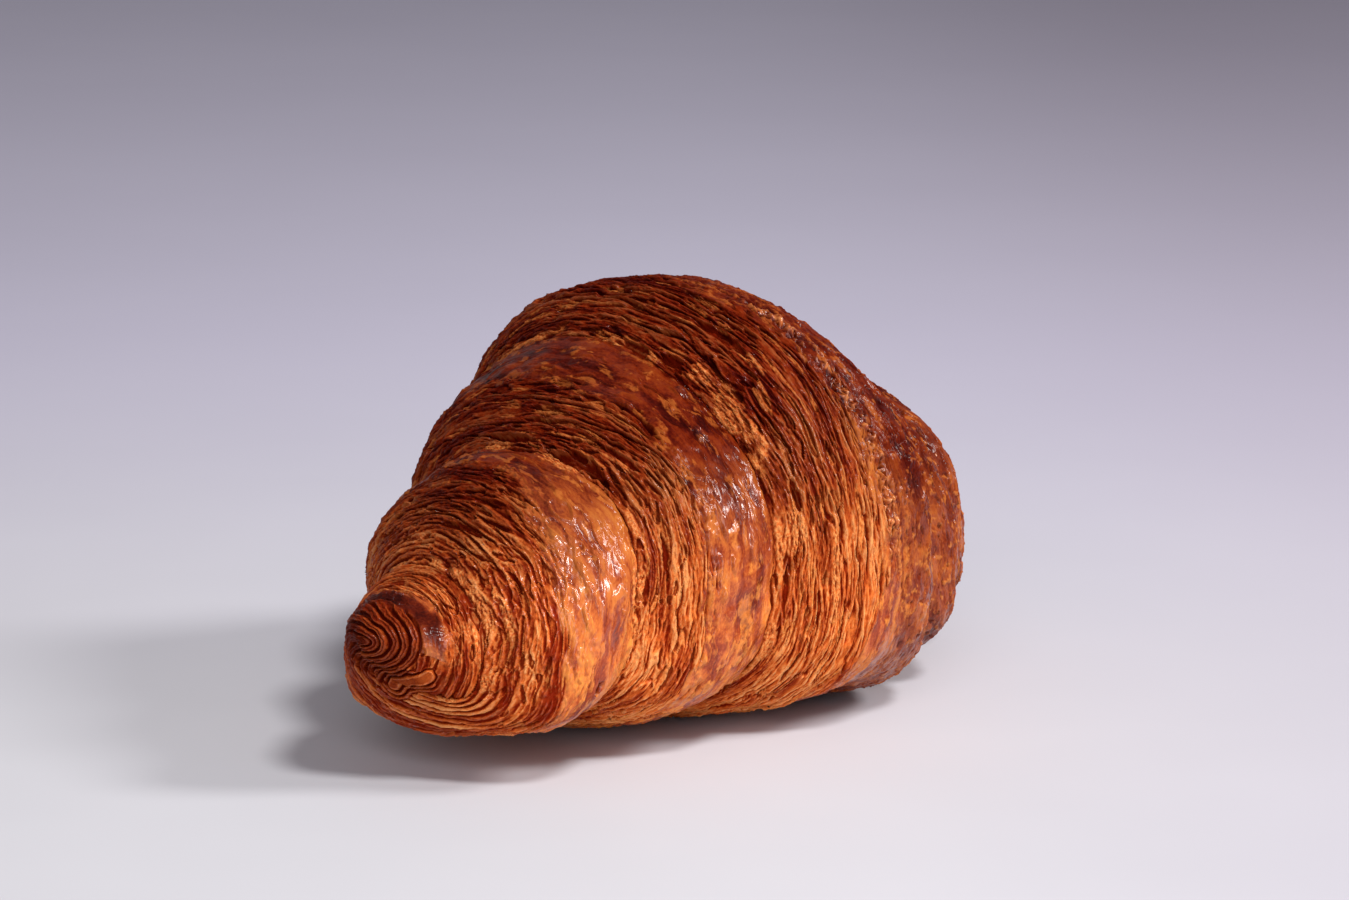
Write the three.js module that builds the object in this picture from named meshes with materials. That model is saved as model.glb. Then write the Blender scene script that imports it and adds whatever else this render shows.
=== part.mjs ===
import * as THREE from "three";

// Butter croissant: one long triangle of laminated dough, rolled from its base to its point.
// The roll lies along X and rests on its underside. All lengths are in millimetres.

// Overall form
const NEAR_HALF = 80; // thickest place of the roll to the -X tip
const FAR_HALF = 66; // thickest place of the roll to the +X tip
const TOP_FLATNESS = 0.815; // height above the roll's core for each unit of half width
const SOLE_FLATNESS = 0.72; // depth below the core for each unit of half width
const SOLE_SQUARENESS = 0.5; // 1 is a round underside, 0 a box
const TIP_ROUNDING = 0.21; // share of each half taken by its rounded end
const FAR_SWELL = 0.077; // extra thickness of the +X half
const RESTING_TRIM = 1.6; // depth of the dough pressed flat by the tray

// Turns of dough lying over each other, counted from the tip of the roll
const TURN_COUNTS = [0, 0.75, 1.75, 2.75, 3.45];
const TURN_PLACES = [1, 0.813, 0.508, 0.202, 0]; // share of the half length from the middle
const MIDDLE_SOFTNESS = 0.07; // share of a half over which the two halves blend
const LAYER_TURNS = [-1, 0, 0.75, 1.75, 2.75, 3.3];
const LAYER_RADII = [4, 18.1, 26.5, 36.4, 46.8, 49.6];
const CORE_LAG = 0.45; // turns by which the core's height follows the outermost layer
const LIFT_PLACES = [0, 0.15, 0.35, 0.6, 1]; // share of the half length from the tip
const TIP_LIFTS = [17.6, 7.1, 7.2, 2.5, 0]; // rise of the underside off the table
const BOW_PLACES = [0, 0.2, 0.5, 1];
const BOWS = [1.3, -3.7, -1.6, 0]; // sideways bend of the roll

// The sloping cut edge of each turn, where the leaves show, and the smooth skin after it
const EDGE_SHARE = 0.8; // share of a turn's width over which it climbs onto the last one
const LEAVES_PER_EDGE = 4;
const LEAF_SHARE = 0.68; // share of a turn's width that shows leaves
const LEAF_DEPTH = 0.95;
const LEAF_LEVEL = 0.7; // share of the leaf depth that lies below the turn's own surface
const CREASE_DEPTH = 1.5;
const CREASE_SHARE = 0.045; // half width of the crease as a share of a turn

// The snail of leaves on each tip
const SNAIL_RADIUS = 13;
const SNAIL_PITCH = 3.4;
const SNAIL_DEPTH = 0.8;

// Slow swells of the baked dough
const SWELLS = [
  { height: 0.55, along: 0.083, around: 2, start: 0.4 },
  { height: 0.45, along: -0.131, around: 3, start: 2.1 },
  { height: 0.3, along: 0.211, around: 5, start: 4.4 },
];

// Places where the dough puffed up most, and the thin end of the dough behind the middle
const PUFFS = [
  { height: -3.8, place: 0, length: 15, angle: -0.25, spread: 0.6 },
  { height: 2.5, place: 19, length: 18, angle: 3.69, spread: 0.55 },
  { height: 0.95, place: -13.5, length: 18, angle: 0.98, spread: 0.55 },
  { height: 0.75, place: 43, length: 14, angle: 3.04, spread: 0.6 },
];

const SEGMENTS_AROUND = 36;
const SEGMENTS_ALONG = 166;
const STATION_STEPS = 600;
const FULL_TURN = 2 * Math.PI;

const CRUST_COLOUR = 0xa8602c;
const CRUST_ROUGHNESS = 0.6;

// A smooth curve through the given places that never overshoots their values.
function curveThrough(placesGiven, valuesGiven) {
  const rising = placesGiven[0] < placesGiven[placesGiven.length - 1];
  const places = rising ? placesGiven : [...placesGiven].reverse();
  const values = rising ? valuesGiven : [...valuesGiven].reverse();
  const last = places.length - 1;
  const steps = [];
  const slopes = [];
  for (let i = 0; i < last; i += 1) {
    steps.push(places[i + 1] - places[i]);
    slopes.push((values[i + 1] - values[i]) / steps[i]);
  }
  const tangents = [slopes[0]];
  for (let i = 1; i < last; i += 1) {
    const before = slopes[i - 1];
    const after = slopes[i];
    const weightBefore = 2 * steps[i] + steps[i - 1];
    const weightAfter = steps[i] + 2 * steps[i - 1];
    const level = before * after <= 0;
    const blended = weightBefore / before + weightAfter / after;
    tangents.push(level ? 0 : (weightBefore + weightAfter) / blended);
  }
  tangents.push(slopes[last - 1]);
  return (place) => {
    const held = Math.min(Math.max(place, places[0]), places[last]);
    let i = 0;
    while (i < last - 1 && held > places[i + 1]) {
      i += 1;
    }
    const t = (held - places[i]) / steps[i];
    const square = t * t;
    const cube = square * t;
    return (
      values[i] * (2 * cube - 3 * square + 1) +
      values[i + 1] * (3 * square - 2 * cube) +
      steps[i] * (tangents[i] * (cube - 2 * square + t) + tangents[i + 1] * (cube - square))
    );
  };
}

const turnsAt = curveThrough(TURN_PLACES, TURN_COUNTS);
const layerRadius = curveThrough(LAYER_TURNS, LAYER_RADII);
const liftAt = curveThrough(LIFT_PLACES, TIP_LIFTS);
const bowAt = curveThrough(BOW_PLACES, BOWS);

// Distance from the middle as a share of the half that x lies in.
function shareFromMiddle(x) {
  return Math.min(Math.abs(x) / (x < 0 ? NEAR_HALF : FAR_HALF), 1);
}

// Winding number of the roll, level across the middle where the two halves meet.
function turnsOverMiddle(share) {
  const fade = Math.exp(-((share / (3 * MIDDLE_SOFTNESS)) ** 2));
  return turnsAt(Math.min(Math.sqrt(share * share + MIDDLE_SOFTNESS ** 2 * fade), 1));
}

// Roundness of the end: 0 at the tip itself, 1 over the rest of the roll.
function endRounding(share) {
  const inward = Math.min((1 - share) / TIP_ROUNDING, 1);
  return Math.sqrt(Math.max(1 - (1 - inward) ** 2, 0));
}

// Smooth step from 0 to 1 between two places.
function ease(from, to, place) {
  return THREE.MathUtils.smoothstep(place, from, to);
}

// Grooves between the leaves on a turn's cut edge; width is the share of the turn passed so far.
function leafGrooves(width) {
  const depth = ease(0, 0.06, width) * (1 - ease(0.8 * LEAF_SHARE, LEAF_SHARE, width));
  const wave = 0.5 - 0.5 * Math.cos((FULL_TURN * width * LEAVES_PER_EDGE) / LEAF_SHARE);
  return LEAF_DEPTH * depth * (wave - LEAF_LEVEL);
}

// The crease where a turn slips under the next one.
function creaseGroove(width) {
  const distance = Math.min(width, 1 - width) / CREASE_SHARE;
  return -CREASE_DEPTH * Math.exp(-distance * distance);
}

// Spiral of leaf ends round the tip of the roll.
function snailGrooves(share, radius, around) {
  const reach = 1 - ease(0.75 * SNAIL_RADIUS, SNAIL_RADIUS, radius);
  const onTip = ease(1 - TIP_ROUNDING, 1 - 0.6 * TIP_ROUNDING, share);
  const wave = 0.5 - 0.5 * Math.cos(FULL_TURN * (radius / SNAIL_PITCH + around));
  return SNAIL_DEPTH * reach * onTip * (wave - 0.5);
}

// Height added by the slow swells and the puffed places.
function swell(x, angle) {
  let height = 0;
  for (const wave of SWELLS) {
    height += wave.height * Math.sin(wave.along * x + wave.around * angle + wave.start);
  }
  for (const puff of PUFFS) {
    const turned = THREE.MathUtils.euclideanModulo(angle - puff.angle + Math.PI, FULL_TURN) - Math.PI;
    const away = ((x - puff.place) / puff.length) ** 2 + (turned / puff.spread) ** 2;
    height += puff.height * Math.exp(-away);
  }
  return height;
}

// Radius of the dough at place x along the roll and at an angle round it.
function radiusAt(x, angle) {
  const share = shareFromMiddle(x);
  const turns = turnsOverMiddle(share);
  const around = THREE.MathUtils.euclideanModulo(angle / FULL_TURN, 1);
  const width = THREE.MathUtils.euclideanModulo(turns + around, 1);
  const layer = turns - width;
  const under = layerRadius(layer - 1);
  const over = layerRadius(layer);
  const climb = 1 - Math.max(1 - width / EDGE_SHARE, 0) ** 2;
  const swelling = 1 + FAR_SWELL * ease(-10, 40, x);
  const rounded = endRounding(share);
  const smooth = (under + (over - under) * climb) * swelling * rounded;
  const grooves = leafGrooves(width) + creaseGroove(width) + swell(x, angle);
  return Math.max(smooth + grooves * rounded + snailGrooves(share, smooth, around), 0);
}

// Height of the roll's core above the table.
function coreHeight(x) {
  const share = shareFromMiddle(x);
  return SOLE_FLATNESS * layerRadius(turnsAt(share) - CORE_LAG) + liftAt(1 - share);
}

// Places along the roll that are evenly spaced over its skin, so the ends get enough of them.
function evenPlaces(count) {
  const length = NEAR_HALF + FAR_HALF;
  const xs = [];
  const run = [0];
  for (let i = 0; i <= STATION_STEPS; i += 1) {
    xs.push(-NEAR_HALF + length * (0.5 - 0.5 * Math.cos((Math.PI * i) / STATION_STEPS)));
  }
  const outer = xs.map((x) => {
    const share = shareFromMiddle(x);
    return layerRadius(turnsAt(share) - CORE_LAG) * endRounding(share);
  });
  for (let i = 1; i <= STATION_STEPS; i += 1) {
    run.push(run[i - 1] + Math.hypot(xs[i] - xs[i - 1], outer[i] - outer[i - 1]));
  }
  const total = run[STATION_STEPS];
  const places = [];
  let step = 1;
  for (let k = 0; k <= count; k += 1) {
    const wanted = (total * k) / count;
    while (step < STATION_STEPS && run[step] < wanted) {
      step += 1;
    }
    const part = (wanted - run[step - 1]) / (run[step] - run[step - 1]);
    places.push(THREE.MathUtils.lerp(xs[step - 1], xs[step], part));
  }
  return places;
}

// Lays a ball's skin over the rolled dough, ring by ring.
function croissantGeometry() {
  const geometry = new THREE.SphereGeometry(1, SEGMENTS_AROUND, SEGMENTS_ALONG);
  const places = evenPlaces(SEGMENTS_ALONG);
  const position = geometry.getAttribute("position");
  const uv = geometry.getAttribute("uv");
  for (let i = 0; i < position.count; i += 1) {
    const ring = Math.round(uv.getY(i) * SEGMENTS_ALONG);
    const x = places[ring];
    const atTip = ring === 0 || ring === SEGMENTS_ALONG;
    const around = atTip ? 0 : Math.round(uv.getX(i) * SEGMENTS_AROUND) % SEGMENTS_AROUND;
    const angle = (FULL_TURN * around) / SEGMENTS_AROUND - Math.PI / 2;
    const radius = atTip ? 0 : radiusAt(x, angle);
    const rise = Math.sin(angle);
    const vertical = rise > 0 ? TOP_FLATNESS * rise : -SOLE_FLATNESS * Math.abs(rise) ** SOLE_SQUARENESS;
    const y = bowAt(1 - shareFromMiddle(x)) + radius * Math.cos(angle);
    position.setXYZ(i, x, y, coreHeight(x) + radius * vertical);
  }
  geometry.computeBoundingBox();
  const trim = geometry.boundingBox.min.z + RESTING_TRIM;
  for (let i = 0; i < position.count; i += 1) {
    position.setZ(i, Math.max(position.getZ(i), trim));
  }
  geometry.computeBoundingBox();
  const middle = geometry.boundingBox.getCenter(new THREE.Vector3());
  geometry.translate(-middle.x, -middle.y, -geometry.boundingBox.min.z);
  geometry.computeVertexNormals();
  return geometry;
}

const crust = new THREE.MeshStandardMaterial({
  color: CRUST_COLOUR,
  roughness: CRUST_ROUGHNESS,
  metalness: 0,
});

const croissant = new THREE.Mesh(croissantGeometry(), crust);
croissant.name = "croissant";

const part = new THREE.Group();
part.add(croissant);

export default part;
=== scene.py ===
"""Butter croissant: leafy cut edges, glossy baked skin and rolled tips over the form of the solid.

Lengths in the shape functions are millimetres; meshes are made in metres.
"""

import math

import bmesh
import bpy
import numpy as np
from mathutils import Matrix, Vector


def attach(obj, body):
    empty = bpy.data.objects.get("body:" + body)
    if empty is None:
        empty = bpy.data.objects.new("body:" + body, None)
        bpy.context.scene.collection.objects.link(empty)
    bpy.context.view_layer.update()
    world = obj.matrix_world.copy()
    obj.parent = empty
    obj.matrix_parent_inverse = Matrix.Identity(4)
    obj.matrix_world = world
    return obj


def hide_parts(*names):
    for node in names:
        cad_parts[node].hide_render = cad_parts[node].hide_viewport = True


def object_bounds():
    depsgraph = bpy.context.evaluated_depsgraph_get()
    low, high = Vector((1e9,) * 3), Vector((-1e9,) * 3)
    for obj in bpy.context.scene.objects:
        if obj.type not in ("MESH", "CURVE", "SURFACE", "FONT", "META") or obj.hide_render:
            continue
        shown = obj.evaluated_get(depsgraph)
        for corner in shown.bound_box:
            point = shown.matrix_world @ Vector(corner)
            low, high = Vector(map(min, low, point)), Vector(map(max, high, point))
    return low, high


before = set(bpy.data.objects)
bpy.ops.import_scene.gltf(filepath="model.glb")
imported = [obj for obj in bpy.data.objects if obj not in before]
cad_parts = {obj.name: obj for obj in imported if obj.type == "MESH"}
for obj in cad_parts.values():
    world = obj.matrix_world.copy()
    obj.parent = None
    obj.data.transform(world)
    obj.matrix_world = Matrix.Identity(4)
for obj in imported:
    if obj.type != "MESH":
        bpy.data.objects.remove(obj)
cad_box = [list(corner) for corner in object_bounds()]

MM = 0.001
FULL_TURN = 2 * math.pi

# Form of the rolled dough, as in the solid
NEAR_HALF = 80.0
FAR_HALF = 66.0
TOP_FLATNESS = 0.815
SOLE_FLATNESS = 0.72
SOLE_SQUARENESS = 0.5
TIP_ROUNDING = 0.21
FAR_SWELL = 0.077
RESTING_TRIM = 1.6
MIDDLE_SOFTNESS = 0.07
CORE_LAG = 0.45
EDGE_SHARE = 0.8
TURN_PLACES = (0.0, 0.202, 0.508, 0.813, 1.0)
TURN_COUNTS = (3.45, 2.75, 1.75, 0.75, 0.0)
LAYER_TURNS = (-1.0, 0.0, 0.75, 1.75, 2.75, 3.3)
LAYER_RADII = (4.0, 18.1, 26.5, 36.4, 46.8, 49.6)
LIFT_PLACES = (0.0, 0.15, 0.35, 0.6, 1.0)
TIP_LIFTS = (17.6, 7.1, 7.2, 2.5, 0.0)
BOW_PLACES = (0.0, 0.2, 0.5, 1.0)
BOWS = (1.3, -3.7, -1.6, 0.0)
# Long swells: height, waves along and round the roll, and where they start
SWELLS = ((0.55, 0.083, 2, 0.4), (0.45, -0.131, 3, 2.1), (0.3, 0.211, 5, 4.4))
# Puffs: height, place along the roll, half length, angle round it and half spread
PUFFS = (
    (-3.8, 0.0, 15.0, -0.25, 0.6),
    (2.5, 19.0, 18.0, 3.69, 0.55),
    (0.95, -13.5, 18.0, 0.98, 0.55),
    (0.75, 43.0, 14.0, 3.04, 0.6),
)

# Mesh of the crust
PIECES = 10
ROWS_PER_PIECE = 160
COLUMNS = 580
ROWS = ROWS_PER_PIECE * PIECES

# Steps in which lengths round the roll are measured, and the most turns that a place can have
FINE_STEPS = 40001
LAST_TURN = 5

# Leaves on the cut edges
THIN_LEAF = 0.42
THIN_RISE = 0.15
MIDDLING_LEAF = 0.74
MIDDLING_RISE = 0.32
WIDE_LEAF = 1.7
WIDE_PIT = 0.7
BROAD_LEAF = 1.35
BROAD_RISE = 0.7

# Curl of leaves round the blunt tip
WHORL_PITCH = 1.55
WHORL_DEPTH = 0.9
WHORL_SQUASH = (1.0, 1.0, 1.5)
HOOK_PLACE = -74.9
HOOK_ANGLE = math.radians(265)
LIP_DEGREES = (192, 225, 272)
LIP_PLACES = (-75.3, -75.9, -74.5)
LIP_HALF_WIDTH = 1.0
LIP_RING = 0.95

# How far the strip of dough shifts along the roll in one radian round it
STRIP_LEAN = 3.1

# Chipped band beside the far skin, and how far the near and far halves run into each other
BAND_PLACE = -2.0
BAND_HALF_WIDTH = 1.3
HALVES_OVERLAP = 5
HALVES_BLEND = 4

# Seeds of the two halves, the whorl, the blunt tip, the browning and each kind of patch
NEAR_SEED = 3
FAR_SEED = 303
WHORL_SEED = 400
TIP_SEED = 77
BROWNING_SEED = 901
LIGHT_SEED = 500
GOLD_SEED = 600
HOLLOW_SEED = 700
FOLD_SEED = 800
PATCH_STEP = 7

# Torn hollows: place along the roll, degrees round it, half width, half length, depth
HOLLOWS = (
    (-37.4, 76, 0.9, 5.0, 1.8),
    (-40.6, 109, 1.3, 5.5, 2.4),
    (-34.5, 86, 0.5, 3.6, 1.1),
    (-59.7, 87, 0.6, 4.2, 1.3),
    (-55.9, 84, 0.4, 4.6, 1.0),
    (-37.4, 118, 0.6, 4.2, 1.2),
    (-15.4, 94, 0.7, 3.2, 1.4),
    (-15.6, 105, 0.8, 2.8, 1.6),
    (-9.7, 113, 0.8, 5.6, 1.5),
    (-57.2, 190, 0.9, 1.5, 1.3),
    (5.2, 184, 0.7, 0.8, 0.9),
    (8.7, 197, 0.6, 0.8, 0.9),
    (-16.9, 159, 0.6, 3.6, 1.3),
    (-11.9, 172, 0.5, 3.4, 1.1),
    (-7.8, 176, 0.5, 3.8, 1.1),
    (-41.3, 157, 0.5, 4.0, 1.2),
    (-20.1, 178, 0.6, 3.4, 0.8),
    (-66.9, 262, 0.5, 2.4, 0.8),
)

# Light torn dough, golden blisters, and long raised folds of glazed skin: each patch with its
# place along the roll, degrees round it, half width and half length
LIGHT_PATCHES = (
    (-42.8, 106, 2.0, 4.5),
    (-15.3, 115, 1.4, 3.2),
    (-16.9, 134, 1.5, 9.0),
    (-46.0, 166, 1.6, 7.0),
    (-65.8, 140, 0.55, 5.5),
    (-69.6, 150, 0.45, 4.5),
    (-18.4, 168, 1.6, 5.0),
    (-13.3, 179, 0.8, 8.5),
    (-10.2, 121, 0.8, 4.6),
    (-38.4, 120, 0.6, 3.8),
    (-64.6, 96, 0.6, 2.6),
)
GOLD_PATCHES = (
    (-24.6, 103, 0.9, 1.5),
    (-24.0, 116, 1.6, 3.4),
    (-52.1, 94, 0.8, 2.2),
    (-58.9, 149, 1.0, 4.5),
    (-60.2, 184, 2.2, 5.0),
    (-29.0, 186, 2.4, 5.0),
    (-4.6, 154, 1.4, 7.5),
    (-3.4, 168, 1.2, 4.0),
)
FOLDS = (
    (-29.9, 144, 0.45, 1.8),
    (-31.2, 154, 0.6, 3.4),
    (-31.6, 168, 0.4, 2.0),
    (-33.8, 176, 0.6, 1.4),
    (-26.6, 150, 1.5, 4.5),
    (-27.4, 166, 0.5, 2.6),
    (-55.1, 135, 0.9, 2.0),
    (-56.2, 145, 0.6, 2.2),
    (-56.8, 155, 0.8, 1.6),
    (-58.9, 166, 0.6, 2.2),
    (-53.4, 148, 0.9, 2.8),
    (-24.4, 128, 1.2, 1.6),
    (-19.4, 114, 0.9, 1.4),
)


def curve_through(places, values):
    """A smooth curve through the given places that never overshoots their values."""
    places = np.asarray(places, float)
    values = np.asarray(values, float)
    steps = np.diff(places)
    slopes = np.diff(values) / steps
    tangents = np.concatenate([slopes[:1], np.zeros(len(slopes) - 1), slopes[-1:]])
    for i in range(1, len(slopes)):
        before, after = slopes[i - 1], slopes[i]
        if before * after > 0:
            weight_before = 2 * steps[i] + steps[i - 1]
            weight_after = steps[i] + 2 * steps[i - 1]
            weights = weight_before + weight_after
            tangents[i] = weights / (weight_before / before + weight_after / after)

    def at(place):
        place = np.clip(place, places[0], places[-1])
        i = np.clip(np.searchsorted(places, place) - 1, 0, len(steps) - 1)
        t = (place - places[i]) / steps[i]
        square, cube = t * t, t * t * t
        return (
            values[i] * (2 * cube - 3 * square + 1)
            + values[i + 1] * (3 * square - 2 * cube)
            + steps[i] * (tangents[i] * (cube - 2 * square + t) + tangents[i + 1] * (cube - square))
        )

    return at


turns_at = curve_through(TURN_PLACES, TURN_COUNTS)
layer_radius = curve_through(LAYER_TURNS, LAYER_RADII)
lift_at = curve_through(LIFT_PLACES, TIP_LIFTS)
bow_at = curve_through(BOW_PLACES, BOWS)


def ease(start, end, value):
    """Smooth step from 0 to 1 between start and end."""
    t = np.clip((value - start) / (end - start), 0, 1)
    return t * t * (3 - 2 * t)


def scrambled(across, along, seed):
    """A fixed random whole number for each pair of whole numbers."""
    mixed = across * np.uint32(0x9E3779B1) ^ along * np.uint32(0x85EBCA6B)
    mixed = mixed ^ np.uint32(seed * 0xC2B2AE35 & 0xFFFFFFFF)
    mixed = (mixed ^ (mixed >> np.uint32(15))) * np.uint32(0x2C1B3C6D)
    mixed = (mixed ^ (mixed >> np.uint32(12))) * np.uint32(0x297A2D39)
    return mixed ^ (mixed >> np.uint32(15))


def whole(value):
    """Whole numbers in the form that the scrambling needs."""
    return value.astype(np.int64).astype(np.uint32)


def lattice(across, along, seed):
    """A fixed random number from 0 to 1 for each whole-numbered place."""
    return scrambled(whole(across), whole(along), seed) / 0xFFFFFFFF


SLANT_BITS = 6
SLANT_ANGLES = FULL_TURN * np.arange(2**SLANT_BITS) / 2**SLANT_BITS
SLANTS = np.stack([np.cos(SLANT_ANGLES), np.sin(SLANT_ANGLES)])
NOISE_REACH = 1.6


def noise(u, v, seed):
    """Smooth noise from about -1 to 1 with features one unit wide."""
    low_u, low_v = np.floor(u), np.floor(v)
    fu, fv = u - low_u, v - low_v
    iu, iv = whole(low_u), whole(low_v)
    total = 0.0
    ease_u = fu * fu * fu * (fu * (fu * 6 - 15) + 10)
    ease_v = fv * fv * fv * (fv * (fv * 6 - 15) + 10)
    for du, share_u in ((0, 1 - ease_u), (1, ease_u)):
        for dv, share_v in ((0, 1 - ease_v), (1, ease_v)):
            corner = scrambled(iu + np.uint32(du), iv + np.uint32(dv), seed)
            slant = corner >> np.uint32(32 - SLANT_BITS)
            slope = SLANTS[0][slant] * (fu - du) + SLANTS[1][slant] * (fv - dv)
            total += share_u * share_v * slope
    return NOISE_REACH * total


def layered_noise(u, v, seed, octaves):
    """Noise with finer, weaker noise laid over it, still from about -1 to 1."""
    total, weight = 0.0, 1.0
    for octave in range(octaves):
        finer = 2**octave
        layer = noise(u * finer + 7.3 * octave, v * finer - 3.1 * octave, seed + octave)
        total += weight * layer
        weight *= 0.5
    return total / (2 - 2 ** (1 - octaves))


def crest(value, width):
    """1 along the zero lines of a noise, falling to 0 at the given distance from them."""
    return 1 - np.minimum(np.abs(value) / width, 1)


def cells(u, v, seed):
    """Scattered cells: distance to the nearest centre, and the chance number of that cell."""
    iu, iv = np.floor(u), np.floor(v)
    nearest = np.full(u.shape, 9.0)
    chance = np.zeros(u.shape)
    for du in (-1, 0, 1):
        for dv in (-1, 0, 1):
            cu, cv = iu + du, iv + dv
            pu = u - cu - 0.5 - 0.8 * (lattice(cu, cv, seed) - 0.5)
            pv = v - cv - 0.5 - 0.9 * (lattice(cu, cv, seed + 1) - 0.5)
            distance = np.hypot(pu, pv)
            closer = distance < nearest
            chance = np.where(closer, lattice(cu, cv, seed + 2), chance)
            nearest = np.where(closer, distance, nearest)
    return nearest, chance


def share_from_middle(x):
    """Share of its half of the roll that a place lies from the middle."""
    return np.minimum(np.abs(x) / np.where(x < 0, NEAR_HALF, FAR_HALF), 1)


def turns_over_middle(share):
    """Turns of dough at a share from the middle, where the two halves meet without a crease."""
    fade = np.exp(-((share / (3 * MIDDLE_SOFTNESS)) ** 2))
    return turns_at(np.minimum(np.sqrt(share**2 + MIDDLE_SOFTNESS**2 * fade), 1))


def end_rounding(share):
    """Factor that rounds off the tips."""
    inward = np.minimum((1 - share) / TIP_ROUNDING, 1)
    return np.sqrt(np.maximum(1 - (1 - inward) ** 2, 0))


def swell(x, angle):
    """Long swells and single puffs of the whole roll."""
    height = 0
    for rise, along, around, start in SWELLS:
        height += rise * np.sin(along * x + around * angle + start)
    for rise, place, length, direction, spread in PUFFS:
        turned = np.mod(angle - direction + math.pi, FULL_TURN) - math.pi
        height += rise * np.exp(-(((x - place) / length) ** 2) - (turned / spread) ** 2)
    return height


def section_height(rise):
    """Height of the roll's flattened section where a circle would have the given height."""
    return np.where(rise > 0, TOP_FLATNESS * rise, -SOLE_FLATNESS * np.abs(rise) ** SOLE_SQUARENESS)


def dough_point(x, angle):
    """A point of the rolled dough before its leaves, from its place along and angle round it."""
    share = share_from_middle(x)
    turns = turns_over_middle(share)
    width = np.mod(turns + np.mod(angle / FULL_TURN, 1), 1)
    layer = turns - width
    under, over = layer_radius(layer - 1), layer_radius(layer)
    climb = 1 - np.maximum(1 - width / EDGE_SHARE, 0) ** 2
    radius = (under + (over - under) * climb) * (1 + FAR_SWELL * ease(-10, 40, x))
    radius = np.maximum((radius + swell(x, angle)) * end_rounding(share), 0)
    core = SOLE_FLATNESS * layer_radius(turns_at(share) - CORE_LAG) + lift_at(1 - share)
    side = bow_at(1 - share) + radius * np.cos(angle)
    return np.stack([x + 0 * angle, side, core + radius * section_height(np.sin(angle))], -1)


def round_shares(angles):
    """Share of the way round the roll, measured over its skin, for angles from 0 to a full turn."""
    steps = np.linspace(0, FULL_TURN, FINE_STEPS)
    up = section_height(np.sin(steps))
    run = np.concatenate([[0], np.cumsum(np.hypot(np.diff(np.cos(steps)), np.diff(up)))])
    return np.interp(angles, steps, run / run[-1])


def even_angles(count):
    """Angles round the roll, evenly spaced over its skin, starting near the sole."""
    steps = np.linspace(0, FULL_TURN, FINE_STEPS)
    start = round_shares(1.5 * math.pi)
    wanted = start + np.arange(count) / count
    found = np.interp(np.mod(wanted, 1), round_shares(steps), steps)
    return found + FULL_TURN * (wanted >= 1) - FULL_TURN


def even_places(count):
    """Places along the roll, evenly spaced over its skin."""
    steps = np.linspace(0, math.pi, 2001)
    x = -NEAR_HALF + (NEAR_HALF + FAR_HALF) * (0.5 - 0.5 * np.cos(steps))
    share = share_from_middle(x)
    outer = layer_radius(turns_at(share) - CORE_LAG) * end_rounding(share)
    run = np.concatenate([[0], np.cumsum(np.hypot(np.diff(x), np.diff(outer)))])
    return np.interp(np.linspace(0, run[-1], count), run, x)


def slopes_of(points):
    """Unit steps along the roll, and the outward normal, at each point of the grid."""
    along = np.gradient(points, axis=0)
    around = np.roll(points, -1, 1) - np.roll(points, 1, 1)
    normal = np.cross(around, along)
    normal = normal / np.maximum(np.linalg.norm(normal, axis=-1, keepdims=True), 1e-12)
    along = along / np.maximum(np.linalg.norm(along, axis=-1, keepdims=True), 1e-12)
    return along, normal


def blurred(field, rows, columns):
    """The field averaged over a window of the grid, closed round the roll."""
    for reach, axis in ((rows, 0), (columns, 1)):
        if reach < 1:
            continue
        pad = [(0, 0)] * field.ndim
        pad[axis] = (reach + 1, reach)
        total = np.cumsum(np.pad(field, pad, mode="edge" if axis == 0 else "wrap"), axis=axis)
        size = 2 * reach + 1
        if axis == 0:
            field = (total[size:] - total[:-size]) / size
        else:
            field = (total[:, size:] - total[:, :-size]) / size
    return field


def strip_places(x, angle, points):
    """The place of each grid point on the strip of dough that the roll is made of.

    Gives its turn, the share of that turn passed, the distances across the strip from its edge
    and to the next one, and the distance along the strip.
    """
    turn_number = turns_over_middle(share_from_middle(x)) + np.mod(angle / FULL_TURN, 1)
    turn = np.floor(turn_number)
    width = turn_number - turn
    steps = np.linalg.norm(np.diff(points, axis=0), axis=-1)
    run = np.concatenate([np.zeros((1, COLUMNS)), np.cumsum(steps, axis=0)])
    across = np.zeros_like(run)
    left = np.zeros_like(run)
    middle = int(np.argmax(x[:, 0] > 0))
    edges = np.arange(LAST_TURN + 1)
    for rows, flip in ((slice(0, middle), False), (slice(middle, ROWS + 1), True)):
        for column in range(COLUMNS):
            number = turn_number[rows, column]
            distance = run[rows, column]
            if flip:
                number, distance = number[::-1], run[-1, column] - distance[::-1]
            first = np.interp(edges, number, distance)
            start = np.where(edges <= number[0], 0.0, first)
            which = np.floor(number).astype(int)
            gone = distance - start[which]
            ahead = first[np.minimum(which + 1, LAST_TURN)] - distance
            across[rows, column] = gone[::-1] if flip else gone
            left[rows, column] = ahead[::-1] if flip else ahead
    layer = turn - round_shares(np.mod(angle[0], FULL_TURN))[None, :]
    depths = np.linspace(-1, 4.5, 200)
    steps = np.diff(depths) * FULL_TURN * layer_radius(depths[1:])
    along = -np.interp(layer, depths, np.concatenate([[0], np.cumsum(steps)]))
    return turn, width, across, left, along


def wandered(across, along, seed):
    """Distance across the strip, shifted so that the leaves run in long waves."""
    drift = 1.1 * layered_noise(across / 9, along / 36, seed, 2)
    drift += 0.35 * noise(across / 3, along / 12, seed + 5)
    return across + drift


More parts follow.
